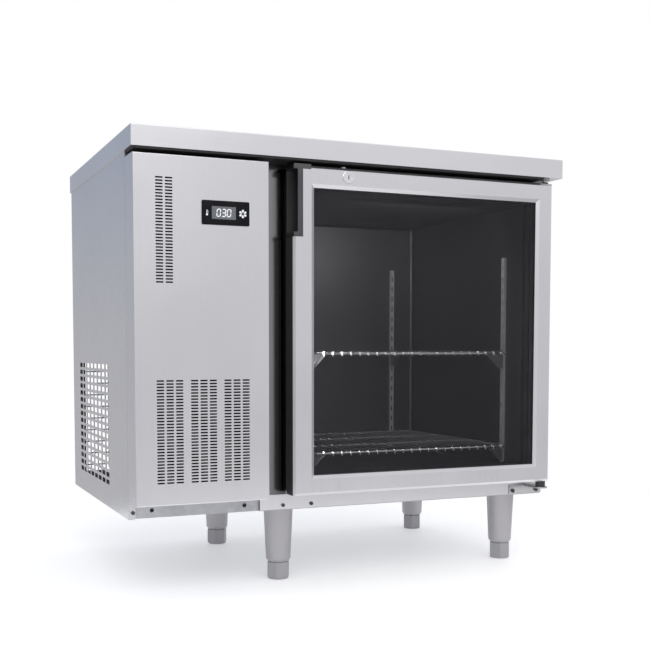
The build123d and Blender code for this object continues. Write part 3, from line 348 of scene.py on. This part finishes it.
def moulded(
    name, colour, roughness, texture=1800.0, strength=0.25, dust=0.10,
    coat=0.0, metallic=0.0, shine=0.5,
):
    """Moulded plastic, rubber or enamel: a fine skin texture and a little dust in patches."""
    constants = {"Metallic": metallic, "Coat_Weight": coat, "Coat_Roughness": 0.08}
    material, graph, shader = new_material(name, Specular_IOR_Level=shine, **constants)
    skin = graph.noise(texture, detail=3.0)
    patch = graph.noise(22.0, detail=5.0, roughness=0.6)
    pale = tuple(c + (0.5 - c) * dust for c in colour)
    tone = graph.ramp(patch, [(0.0, colour), (1.0, pale)], low=0.45, high=0.80)
    graph.link(tone, shader.inputs["Base Color"])
    gloss = graph.spread(patch, 0.3, 0.8, roughness - 0.04, roughness + 0.10)
    graph.link(gloss, shader.inputs["Roughness"])
    graph.link(graph.bump(skin, strength, 0.00012), shader.inputs["Normal"])
    return material


def bright_wire(name, colour, roughness):
    """Plated wire, a little uneven along its length, duller where it was welded or rubbed."""
    material, graph, shader = new_material(name, Metallic=1.0)
    rub = graph.noise(60.0, detail=4.0)
    fleck = graph.noise(900.0, detail=2.0)
    dull = tuple(c * 0.82 for c in colour)
    tone = graph.ramp(rub, [(0.0, colour), (1.0, dull)], low=0.45, high=0.75)
    graph.link(tone, shader.inputs["Base Color"])
    graph.link(graph.spread(rub, 0.3, 0.8, roughness, roughness + 0.14), shader.inputs["Roughness"])
    graph.link(graph.bump(fleck, 0.10, 0.0001), shader.inputs["Normal"])
    return material


def copper_pipe(name):
    """Copper tube, tarnished in patches."""
    material, graph, shader = new_material(name, Metallic=1.0)
    tarnish = graph.noise(45.0, detail=6.0, roughness=0.65)
    tone = graph.ramp(tarnish, [
        (0.0, (0.78, 0.42, 0.27)),
        (0.6, (0.62, 0.31, 0.19)),
        (1.0, (0.30, 0.17, 0.12)),
    ], low=0.3, high=0.8)
    graph.link(tone, shader.inputs["Base Color"])
    graph.link(graph.spread(tarnish, 0.3, 0.8, 0.22, 0.50), shader.inputs["Roughness"])
    return material


def foam(name):
    """Yellowed rigid foam with fine bubbles."""
    material, graph, shader = new_material(name, Roughness=0.9)
    bubbles = graph.cells(700.0)
    ages = [(0.0, (0.80, 0.70, 0.48)), (1.0, (0.88, 0.80, 0.60))]
    tone = graph.ramp(graph.noise(30.0, detail=5.0), ages)
    graph.link(tone, shader.inputs["Base Color"])
    graph.link(graph.bump(bubbles.outputs["Distance"], 0.5, 0.0006), shader.inputs["Normal"])
    return material


def pressed_board(name):
    """Black-faced core board with flecks of fibre; the black face is partly painted shade for the
    gap under the worktop's lip.
    """
    material, graph, shader = new_material(name, Roughness=0.72)
    fibre = graph.noise(420.0, (0.25, 1.0, 1.0), detail=5.0, roughness=0.7)
    flecks = [(0.0, (0.012, 0.012, 0.012)), (1.0, (0.035, 0.033, 0.031))]
    tone = graph.ramp(fibre, flecks, low=0.35, high=0.8)
    graph.link(tone, shader.inputs["Base Color"])
    graph.link(graph.bump(fibre, 0.3, 0.0002), shader.inputs["Normal"])
    return material


def pane(name, colour, alpha):
    """Tinted sheet glass: see-through by alpha, with wipe marks in its gloss."""
    material, graph, shader = new_material(name, Alpha=alpha, IOR=1.52)
    wipe = graph.noise(7.0, (1.0, 1.0, 0.4), detail=5.0, roughness=0.6)
    greasy = tuple(c * 1.15 for c in colour)
    graph.link(graph.ramp(wipe, [(0.0, colour), (1.0, greasy)]), shader.inputs["Base Color"])
    graph.link(graph.spread(wipe, 0.4, 0.8, 0.015, 0.07), shader.inputs["Roughness"])
    return material


def finned(name, clean, dusty):
    """Thin metal fins with a slightly oily, dusty face."""
    material, graph, shader = new_material(name, Metallic=1.0)
    dust = graph.noise(35.0, detail=5.0)
    tone = graph.ramp(dust, [(0.0, clean), (1.0, dusty)], low=0.4, high=0.8)
    graph.link(tone, shader.inputs["Base Color"])
    graph.link(graph.spread(dust, 0.3, 0.8, 0.25, 0.55), shader.inputs["Roughness"])
    return material


def lit_mark(name, colour, glow):
    """A display segment or printed icon, lit a little from behind."""
    material, graph, shader = new_material(name, Roughness=0.45, Emission_Strength=glow)
    shader.inputs["Emission Color"].default_value = (*colour, 1.0)
    dim = tuple(c * 0.92 for c in colour)
    tone = graph.ramp(graph.noise(900.0), [(0.0, dim), (1.0, colour)])
    graph.link(tone, shader.inputs["Base Color"])
    return material


def make_materials():
    """Every finish, by name."""
    steel = (0.70, 0.70, 0.712)
    side_steel = (0.69, 0.69, 0.70)
    # Dark colour of the painted shade on the door's sides and in the pull's pocket.
    recess_shade = (0.012, 0.012, 0.013)
    door_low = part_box("door_skin")[0]
    pull_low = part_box("door_handle")[0]
    door_steel = brushed_metal("steel_door", steel, 0.30, "z")
    # Painted shade: the frame's steel is made darker than the other steel, for its recess between
    # the panel and the door.
    frame_steel = brushed_metal("steel_frame", (0.50, 0.50, 0.51), 0.14, "z")
    panel_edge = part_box("service_panel")[1].x
    pull = moulded("pull_plastic", (0.058, 0.056, 0.060), 0.45, 2200.0, 0.30, 0.05)
    return {
        "steel_front": brushed_metal("steel_front", steel, 0.32, "z"),
        "steel_top": brushed_metal("steel_top", (0.73, 0.73, 0.742), 0.32, "x"),
        "steel_side": brushed_metal("steel_side", side_steel, 0.24, "z", grain=0.14),
        # Painted shade: the door's sides, deeper than its front face, are made dark.
        "steel_door": paint_recess_shade(door_steel, door_low.y + 6.5 * MM, recess_shade, 0.45),
        # Painted shade: the frame's strip from the service panel's edge to the door is dimmed,
        # darkest at the door, and stays dim with the door open.
        "steel_frame": shade_gap(frame_steel, panel_edge, door_low.x, 0.80, 0.22),
        # Painted shade: the liner's dark tone stands for the dim inside of the cabinet behind the
        # tinted glass; the evaporator housing shares it.
        "steel_liner": brushed_metal("steel_liner", (0.15, 0.15, 0.16), 0.44, "z", grain=0.05),
        "steel_leg": brushed_metal("steel_leg", (0.42, 0.41, 0.42), 0.42, "z"),
        "steel_bracket": brushed_metal("steel_bracket", (0.46, 0.455, 0.46), 0.38, "x"),
        "rail": moulded("rail", (0.72, 0.72, 0.74), 0.30, 1500.0, 0.08, 0.06, metallic=0.35),
        "clip": moulded("clip", (0.34, 0.34, 0.35), 0.38, 1500.0, 0.08, 0.06, metallic=0.6),
        "zinc": galvanised("zinc"),
        "board": pressed_board("board"),
        "rubber": moulded("rubber", (0.010, 0.010, 0.010), 0.62, 1200.0, 0.3, 0.03),
        "gasket": moulded("gasket", (0.030, 0.030, 0.032), 0.55, 900.0, 0.25, 0.04),
        "foam": foam("foam"),
        "plastic_grey": moulded("plastic_grey", (0.42, 0.43, 0.45), 0.45),
        "door_plastic": moulded("door_plastic", (0.020, 0.020, 0.021), 0.45),
        "plastic_black": moulded("plastic_black", (0.014, 0.014, 0.015), 0.42, 2200.0, 0.35, 0.05),
        # Painted shade: the pull's pocket and sides, deeper than its front flange, are made dark.
        "pull_plastic": paint_recess_shade(pull, pull_low.y + 1.2 * MM, recess_shade, 0.5),
        "bezel": moulded("bezel", (0.006, 0.006, 0.007), 0.24, 2600.0, 0.05, 0.02, shine=0.12),
        "lens": moulded("lens", (0.15, 0.16, 0.17), 0.25, 2600.0, 0.03, 0.04, shine=0.25),
        "enamel": moulded("enamel", (0.012, 0.012, 0.013), 0.28, 350.0, 0.20, 0.08, coat=0.4),
        "nylon": moulded("nylon", (0.020, 0.020, 0.021), 0.40, 1500.0, 0.15, 0.05),
        "foot": moulded("foot", (0.34, 0.335, 0.35), 0.42, 1500.0, 0.12, 0.05, metallic=0.4),
        "wire": bright_wire("wire", (0.90, 0.90, 0.91), 0.16),
        "zinc_wire": bright_wire("zinc_wire", (0.55, 0.57, 0.60), 0.32),
        "lock": bright_wire("lock", (0.78, 0.78, 0.78), 0.20),
        "screw": bright_wire("screw", (0.10, 0.10, 0.11), 0.35),
        "copper": copper_pipe("copper"),
        "fins": finned("fins", (0.74, 0.76, 0.78), (0.50, 0.50, 0.49)),
        # Black fins for the condenser behind the grille, so its slots read dark: partly a guessed
        # black finish, partly painted shade.
        "fins_black": finned("fins_black", (0.030, 0.030, 0.032), (0.060, 0.058, 0.055)),
        "spacer": brushed_metal("spacer", (0.30, 0.30, 0.31), 0.35, "z"),
        "glass_outer": pane("glass_outer", (0.010, 0.010, 0.012), 0.22),
        "glass_inner": pane("glass_inner", (0.020, 0.021, 0.023), 0.06),
        "segment": lit_mark("segment", (0.86, 0.88, 0.90), 0.25),
        "icon": lit_mark("icon", (0.80, 0.82, 0.84), 0.15),
    }


# The finish of each CAD node.
NODE_FINISH = {
    "worktop_skin": "steel_top",
    # The worktop core's black face and the black seal strip fill the gap under the worktop's lip:
    # partly real black parts, partly painted shade.
    "worktop_core": "board",
    "worktop_seal_strip": "rubber",
    "side_panel_left": "steel_side",
    "side_panel_right": "steel_side",
    "outer_wrap": "zinc",
    "front_frame": "steel_frame",
    "thermal_breaker": "door_plastic",
    "base_front_rail": "steel_front",
    "inner_liner": "steel_liner",
    "insulation_bottom": "foam",
    "insulation_top": "foam",
    "insulation_left": "foam",
    "insulation_right": "foam",
    "insulation_back": "foam",
    "service_panel": "steel_front",
    "controller_bezel": "bezel",
    "display_lens": "lens",
    "controller_body": "plastic_black",
    "machine_base": "zinc",
    "compartment_rails": "zinc",
    "rear_wire_guard": "zinc_wire",
    "compressor": "enamel",
    "compressor_feet": "rubber",
    "condenser_coil": "fins_black",
    "fan_shroud": "zinc",
    "condenser_fan_motor": "enamel",
    "condenser_fan": "plastic_black",
    "filter_drier": "copper",
    "refrigerant_tubes": "copper",
    "electrical_box": "plastic_grey",
    "cable_gland": "plastic_black",
    "evaporator_housing": "steel_liner",
    "evaporator_coil": "fins",
    "evaporator_fan_motor": "enamel",
    "evaporator_fan": "plastic_black",
    "shelf_pilasters": "rail",
    "shelf_clips": "clip",
    "upper_shelf": "wire",
    "lower_shelf": "wire",
    "door_skin": "steel_door",
    "door_core": "door_plastic",
    "door_glass_outer": "glass_outer",
    "door_glass_inner": "glass_inner",
    "glass_spacer": "spacer",
    "door_gasket": "gasket",
    "door_handle": "pull_plastic",
    "lock_housing": "lock",
    "lock_cylinder": "lock",
    "lock_bolt": "lock",
    "hinge_bracket_bottom": "steel_bracket",
    "hinge_bracket_top": "steel_bracket",
    "hinge_bushes": "nylon",
    "leg_tubes": "steel_leg",
    "foot_fl": "foot",
    "foot_fr": "foot",
    "foot_rl": "foot",
    "foot_rr": "foot",
    "front_screws": "screw",
}


def finish_nodes(materials):
    """Give each CAD node its finish."""
    for node, finish in NODE_FINISH.items():
        data = NODES[node].data
        data.materials.clear()
        data.materials.append(materials[finish])


# ---------------------------------------------------------------- mesh pieces


def mesh_object(name, bm, material):
    data = bpy.data.meshes.new(name)
    bm.to_mesh(data)
    bm.free()
    data.materials.append(material)
    piece = bpy.data.objects.new(name, data)
    bpy.context.scene.collection.objects.link(piece)
    return piece


def smooth_faces(piece):
    for polygon in piece.data.polygons:
        polygon.use_smooth = True


def node_body(node):
    """The MuJoCo body that a CAD node belongs to."""
    for body, members in frame["record"]["behaviour"]["bodies"].items():
        if node in members:
            return body


def soften_edges(node, material, width):
    """Stand a copy of a CAD node in its place, with its sharp edges rounded a little."""
    bm = bmesh.new()
    bm.from_mesh(NODES[node].data)
    bmesh.ops.remove_doubles(bm, verts=bm.verts, dist=0.002 * MM)
    piece = mesh_object(node + "_soft", bm, material)
    smooth_faces(piece)
    bevel = piece.modifiers.new("edges", "BEVEL")
    bevel.width = width
    bevel.segments = 2
    bevel.limit_method = "ANGLE"
    bevel.angle_limit = math.radians(35.0)
    bevel.harden_normals = True
    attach(piece, node_body(node))
    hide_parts(node)


def flat_mark(name, outline, place, thick, material):
    """A thin raised mark on the front of the controller, from an outline in X and Z."""
    bm = bmesh.new()
    middle_x, y, middle_z = place
    front = [bm.verts.new((middle_x + x, y - thick, middle_z + z)) for x, z in outline]
    back = [bm.verts.new((middle_x + x, y, middle_z + z)) for x, z in outline]
    bm.faces.new(front)
    bm.faces.new(list(reversed(back)))
    count = len(outline)
    for index in range(count):
        after = (index + 1) % count
        bm.faces.new((front[after], front[index], back[index], back[after]))
    bmesh.ops.recalc_face_normals(bm, faces=bm.faces)
    piece = mesh_object(name, bm, material)
    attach(piece, "cabinet")


# The lit bars of each figure: a on top, then clockwise to f, with g in the middle.
SEGMENTS = {"0": "abcdef", "3": "abcdg"}
SLANT = 0.10


def segment_outline(letter, width, height, bar):
    """A six-sided bar of a seven-segment digit, centred on the digit."""
    half = height / 2
    places = {
        "a": (0.0, half, True),
        "g": (0.0, 0.0, True),
        "d": (0.0, -half, True),
        "f": (-width / 2, half / 2, False),
        "b": (width / 2, half / 2, False),
        "e": (-width / 2, -half / 2, False),
        "c": (width / 2, -half / 2, False),
    }
    x, z, level = places[letter]
    reach = (width if level else half) / 2 - bar * 0.18
    tip = bar / 2
    run = reach - tip
    shape = [(-reach, 0), (-run, tip), (run, tip), (reach, 0), (run, -tip), (-run, -tip)]
    points = shape if level else [(b, a) for a, b in shape]
    return [(x + a + SLANT * (z + b), z + b) for a, b in points]


def make_display(materials):
    """Three seven-segment digits on the front of the lens."""
    lens_low, lens_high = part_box("display_lens")
    centre = (lens_low + lens_high) / 2
    face = lens_low.y
    digit = (6.4 * MM, 12.6 * MM)
    pitch = 9.7 * MM
    bar = 1.7 * MM
    for index, figure in enumerate("030"):
        x = centre.x + (index - 1) * pitch
        for letter in SEGMENTS[figure]:
            outline = segment_outline(letter, *digit, bar)
            name = f"display_digit_{index}_{letter}"
            place = (x, face, centre.z)
            flat_mark(name, outline, place, DIGIT_RISE, materials["segment"])


def make_frost_icon(materials):
    """A six-petalled frost mark to the right of the display."""
    bezel_low, bezel_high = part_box("controller_bezel")
    lens_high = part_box("display_lens")[1]
    middle_x = (lens_high.x + bezel_high.x) / 2
    place = (middle_x, bezel_low.y + ICON_LIFT, (bezel_low.z + bezel_high.z) / 2)
    inner, waist, tip = 1.6 * MM, 4.6 * MM, 7.3 * MM
    shape = [(inner, 0), (waist, 2.1 * MM), (tip, 1.5 * MM), (tip, -1.5 * MM), (waist, -2.1 * MM)]
    for index in range(6):
        turn = Matrix.Rotation(math.radians(30.0 + 60.0 * index), 2)
        outline = [tuple(turn @ Vector(corner)) for corner in shape]
        name = f"frost_icon_{index}"
        flat_mark(name, outline, place, ICON_RISE, materials["icon"])


def make_thermometer_icon(materials):
    """A small thermometer mark to the left of the display."""
    bezel_low, bezel_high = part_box("controller_bezel")
    lens_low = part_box("display_lens")[0]
    x = (bezel_low.x + lens_low.x) / 2
    z = (bezel_low.z + bezel_high.z) / 2 - 4.0 * MM
    stem, bulb, top = 0.75 * MM, 1.9 * MM, 7.5 * MM
    sweep = [math.radians(112.0 + 316.0 * step / 18) for step in range(19)]
    outline = [(bulb * math.cos(a), bulb * math.sin(a)) for a in sweep]
    cap = [math.radians(180.0 * step / 6) for step in range(7)]
    outline += [(stem * math.cos(a), top + stem * math.sin(a)) for a in cap]
    place = (x, bezel_low.y + ICON_LIFT, z)
    flat_mark("thermometer_icon", outline, place, ICON_RISE, materials["icon"])
    for index in range(3):
        tick = [(1.6 * MM, 0), (3.0 * MM, 0), (3.0 * MM, 0.5 * MM), (1.6 * MM, 0.5 * MM)]
        rung = (x, place[1], z + (2.6 + 1.8 * index) * MM)
        name = f"thermometer_tick_{index}"
        flat_mark(name, tick, rung, ICON_RISE, materials["icon"])


def make_floor():
    """A small pale disc that glows a little, so that it fades into the white studio."""
    constants = {"Roughness": 0.6, "Emission_Strength": FLOOR_GLOW}
    material, graph, shader = new_material("floor_paint", **constants)
    paint = [(0.0, (0.92, 0.92, 0.92)), (1.0, (0.95, 0.95, 0.95))]
    tone = graph.ramp(graph.noise(3.0, detail=4.0), paint)
    graph.link(tone, shader.inputs["Base Color"])
    bm = bmesh.new()
    bmesh.ops.create_circle(bm, cap_ends=True, segments=96, radius=FLOOR_RADIUS)
    bmesh.ops.translate(bm, vec=(0.0, 0.0, LOW.z - FLOOR_DROP), verts=bm.verts)
    floor = mesh_object("floor", bm, material)


def ring_points(bm, radius, level, around):
    """A ring of vertices about Z."""
    angles = (2 * math.pi * index / around for index in range(around))
    return [bm.verts.new((radius * math.cos(a), radius * math.sin(a), level)) for a in angles]


def join_rings(bm, first, second):
    """Quads between two rings of equally many vertices."""
    count = len(first)
    for index in range(count):
        after = (index + 1) % count
        bm.faces.new((first[index], first[after], second[after], second[index]))


def lay_blade(bm, start, hub, radius, deep):
    """One swept, twisted and cambered blade, its two faces a little apart."""
    rings, steps = 7, 5
    thick = 0.6 * MM
    root = 0.94 * hub
    for side in (-1, 1):
        grid = []
        for ring in range(rings):
            share = ring / (rings - 1)
            reach = root + (radius - root) * share
            width = 0.86 - 0.16 * share
            sweep = 0.30 * share ** 1.6
            twist = (0.74 - 0.34 * share) * deep
            row = []
            for step in range(steps):
                across = step / (steps - 1) - 0.5
                angle = start + sweep + across * width
                camber = (0.25 - across * across) * 0.35 * deep
                rise = across * twist + camber + side * thick
                row.append(bm.verts.new((reach * math.cos(angle), reach * math.sin(angle), rise)))
            grid.append(row)
        for inner, outer in zip(grid, grid[1:]):
            for step in range(steps - 1):
                corners = [inner[step], outer[step], outer[step + 1], inner[step + 1]]
                bm.faces.new(corners if side > 0 else corners[::-1])


def make_fan_wheel(node, axis, hub_share, materials):
    """A moulded fan of five blades round a domed hub, in place of a plain one."""
    low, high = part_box(node)
    centre = (low + high) / 2
    radius = max(high - low) / 2
    deep = min(high - low)
    hub = radius * hub_share
    bore = 3.1 * MM
    bm = bmesh.new()
    blades = 5
    for blade in range(blades):
        lay_blade(bm, 2 * math.pi * blade / blades, hub, radius, deep)
    profile = [
        (bore, -0.5), (0.96 * hub, -0.5), (hub, -0.42), (hub, 0.34),
        (0.9 * hub, 0.46), (0.45 * hub, 0.5), (bore, 0.5),
    ]
    rings = [ring_points(bm, reach, level * deep, 40) for reach, level in profile]
    for first, second in zip(rings, rings[1:] + rings[:1]):
        join_rings(bm, first, second)
    turn_to(bm, axis, centre)
    piece = mesh_object(node + "_wheel", bm, materials[NODE_FINISH[node]])
    smooth_faces(piece)
    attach(piece, node_body(node))
    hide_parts(node)


def turn_to(bm, axis, place):
    """Turn what was laid about Z to an axis, and move it to its place."""
    turn = Vector((0, 0, 1)).rotation_difference(Vector(axis)).to_matrix().to_4x4()
    bmesh.ops.transform(bm, matrix=Matrix.Translation(place) @ turn, verts=bm.verts)


def screw_head(name, place, outward, radius, rise, material):
    """A domed screw head with a cross recess, standing on a flat face."""
    bm = bmesh.new()
    profile = [(1.0, 0.0), (1.0, 0.35), (0.86, 0.75), (0.5, 1.0)]
    rings = [ring_points(bm, reach * radius, level * rise, 24) for reach, level in profile]
    for first, second in zip(rings, rings[1:]):
        join_rings(bm, first, second)
    arm, half = 0.42 * radius, 0.11 * radius
    quarter = [(arm, -half), (arm, half), (half, half)]
    turns = [Matrix.Rotation(math.radians(90.0 * index), 2) for index in range(4)]
    cross = [turn @ Vector(corner) for turn in turns for corner in quarter]
    rim = [bm.verts.new((*corner, rise)) for corner in cross]
    bottom = [bm.verts.new((*corner, 0.4 * rise)) for corner in cross]
    bm.faces.new(bottom)
    join_rings(bm, rim, bottom)
    open_edges = [edge for edge in bm.edges if edge.is_boundary]
    edges = [edge for edge in open_edges if edge.verts[0].co.z > 0.9 * rise]
    bmesh.ops.bridge_loops(bm, edges=edges)
    bmesh.ops.recalc_face_normals(bm, faces=bm.faces)
    turn_to(bm, outward, place)
    piece = mesh_object(name, bm, material)
    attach(piece, "cabinet")


def make_rear_fixings(materials):
    """Screws round the rear cover and along the back's top and bottom edges."""
    wrap_low, wrap_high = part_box("outer_wrap")
    cover_back = wrap_high.y - 1.0 * MM
    top = wrap_high.z - 22.0 * MM
    cover_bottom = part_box("rear_wire_guard")[1].z + 14.0 * MM
    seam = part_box("service_panel")[1].x
    columns = (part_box("side_panel_left")[0].x + 36.0 * MM, seam - 16.0 * MM)
    rows = (top, (top + cover_bottom) / 2, cover_bottom)
    places = [(x, cover_back, z) for x in columns for z in rows]
    first, last = seam + 24.0 * MM, wrap_high.x - 18.0 * MM
    across = [first + (last - first) * index / 4 for index in range(5)]
    places += [(x, wrap_high.y, z) for x in across for z in (wrap_low.z + 14.0 * MM, top)]
    for number, place in enumerate(places):
        name = f"rear_screw_{number}"
        screw_head(name, place, (0, 1, 0), 3.6 * MM, 1.5 * MM, materials["screw"])


# Nodes whose edges are rounded, by how much in millimetres.
SOFTENED = {
    "door_handle": 0.6,
    "hinge_bracket_bottom": 0.35,
    "hinge_bracket_top": 0.35,
    "controller_bezel": 0.25,
    "door_gasket": 1.0,
    "electrical_box": 0.8,
    "cable_gland": 0.5,
    "lock_bolt": 0.25,
}


def main():
    bpy.context.scene.view_settings.view_transform = "Standard"
    make_camera()
    make_world()
    centre = (LOW + HIGH) / 2
    for name, (place, size, power) in (("key", KEY_LIGHT), ("top", TOP_LIGHT)):
        make_area_light(name, place, centre, size, power)
    make_cabinet_lights()
    materials = make_materials()
    finish_nodes(materials)
    for node, width in SOFTENED.items():
        soften_edges(node, materials[NODE_FINISH[node]], width * MM)
    make_fan_wheel("condenser_fan", (0, -1, 0), 0.27, materials)
    make_fan_wheel("evaporator_fan", (1, 0, 0), 0.30, materials)
    make_display(materials)
    make_frost_icon(materials)
    make_thermometer_icon(materials)
    make_rear_fixings(materials)
    make_floor()


main()
